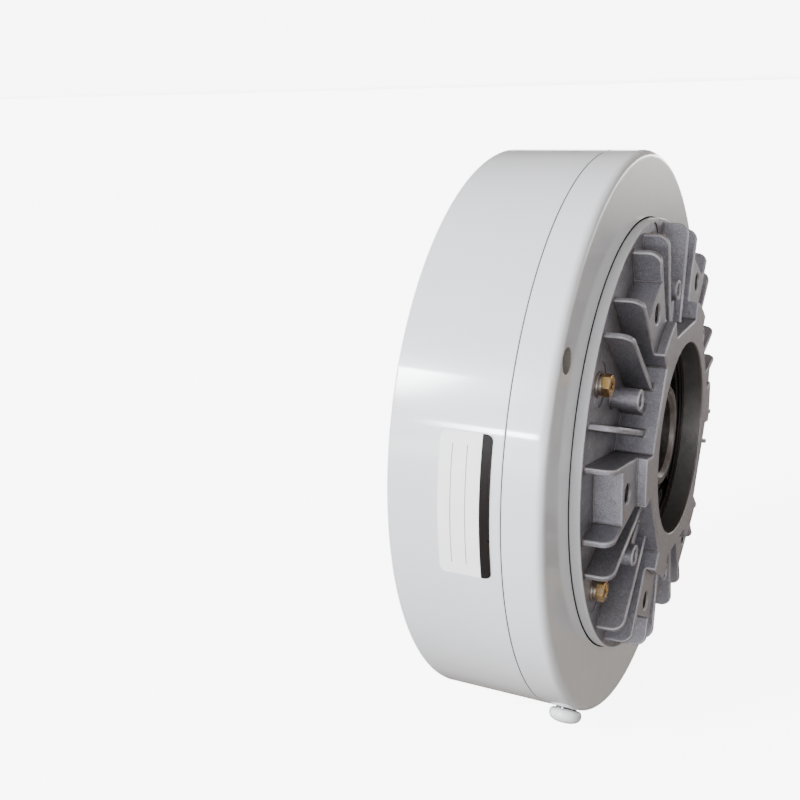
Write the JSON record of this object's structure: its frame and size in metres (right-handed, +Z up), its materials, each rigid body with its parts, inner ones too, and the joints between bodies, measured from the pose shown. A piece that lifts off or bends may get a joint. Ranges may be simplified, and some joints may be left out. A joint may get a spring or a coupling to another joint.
{
  "type": "magnetic powder brake",
  "caption": "Hollow-shaft magnetic powder brake: round painted steel housing with finned cast aluminium covers and a keyed bore that takes a machine shaft.",
  "frame": {"origin": "centre of the shaft bore, half way along the housing", "axes": "Y along the shaft axis with the front (outlet) end facing -Y, Z up, X to the right seen from the front"},
  "size_m": [0.2203, 0.0912, 0.22],
  "materials": {
    "gloss_paint": "gloss off-white paint",
    "cast_aluminium": "raw die-cast",
    "yellow_zinc": "yellow zinc plate",
    "pale_zinc": "zinc plate",
    "black_steel": "black oxide",
    "spring_steel": "phosphated",
    "bearing_steel": "ground",
    "seal_rubber": "matt",
    "cage_brass": "pressed",
    "felt": "felt",
    "plug_plastic": "gloss",
    "plate_foil": "silver foil",
    "bobbin_plastic": "moulded",
    "copper": "enamelled wire",
    "lead_sleeve": "sleeved wire",
    "shield_brass": "turned",
    "iron_powder": "powder",
    "turned_steel": "turned"
  },
  "bodies": {
    "stator": {"front_yoke": "gloss_paint", "rear_yoke": "gloss_paint", "shield_ring": "shield_brass", "coil_bobbin": "bobbin_plastic", "coil_winding": "copper", "coil_leads": "lead_sleeve", "outlet_plug": "plug_plastic", "rating_plate": "plate_foil", "yoke_screws": "black_steel", "front_cover": "cast_aluminium", "rear_cover": "cast_aluminium", "front_cover_bolts": "yellow_zinc", "front_spring_washers": "pale_zinc", "front_flat_washers": "pale_zinc", "rear_cover_bolts": "yellow_zinc", "rear_spring_washers": "pale_zinc", "rear_flat_washers": "pale_zinc", "front_bearing_outer_ring": "bearing_steel", "front_bearing_seals": "seal_rubber", "front_hub_ring": "spring_steel", "front_powder_seal": "felt", "rear_bearing_outer_ring": "bearing_steel", "rear_bearing_seals": "seal_rubber", "rear_hub_ring": "spring_steel", "rear_powder_seal": "felt", "magnetic_powder": "iron_powder"},
    "rotor": {"hollow_shaft": "turned_steel", "rotor_drum": "turned_steel", "rotor_screws": "black_steel", "front_bearing_inner_ring": "bearing_steel", "front_shaft_ring": "spring_steel", "rear_bearing_inner_ring": "bearing_steel", "rear_shaft_ring": "spring_steel"},
    "front_ball_set": {"front_bearing_balls": "bearing_steel", "front_bearing_cage": "cage_brass"},
    "rear_ball_set": {"rear_bearing_balls": "bearing_steel", "rear_bearing_cage": "cage_brass"}
  },
  "joints": [
    {"name": "rotor_spin", "type": "hinge", "parent": "stator", "child": "rotor", "pos_m": [0, 0, 0], "axis": [0, -1, 0], "continuous": true},
    {"name": "front_balls_spin", "type": "hinge", "parent": "stator", "child": "front_ball_set", "pos_m": [0, -0.0267, 0], "axis": [0, -1, 0], "continuous": true},
    {"name": "rear_balls_spin", "type": "hinge", "parent": "stator", "child": "rear_ball_set", "pos_m": [0, 0.0267, 0], "axis": [0, -1, 0], "continuous": true}
  ],
  "couplings": [
    {"joint": "front_balls_spin", "follows": "rotor_spin", "ratio": 0.4278},
    {"joint": "rear_balls_spin", "follows": "rotor_spin", "ratio": 0.4278}
  ]
}
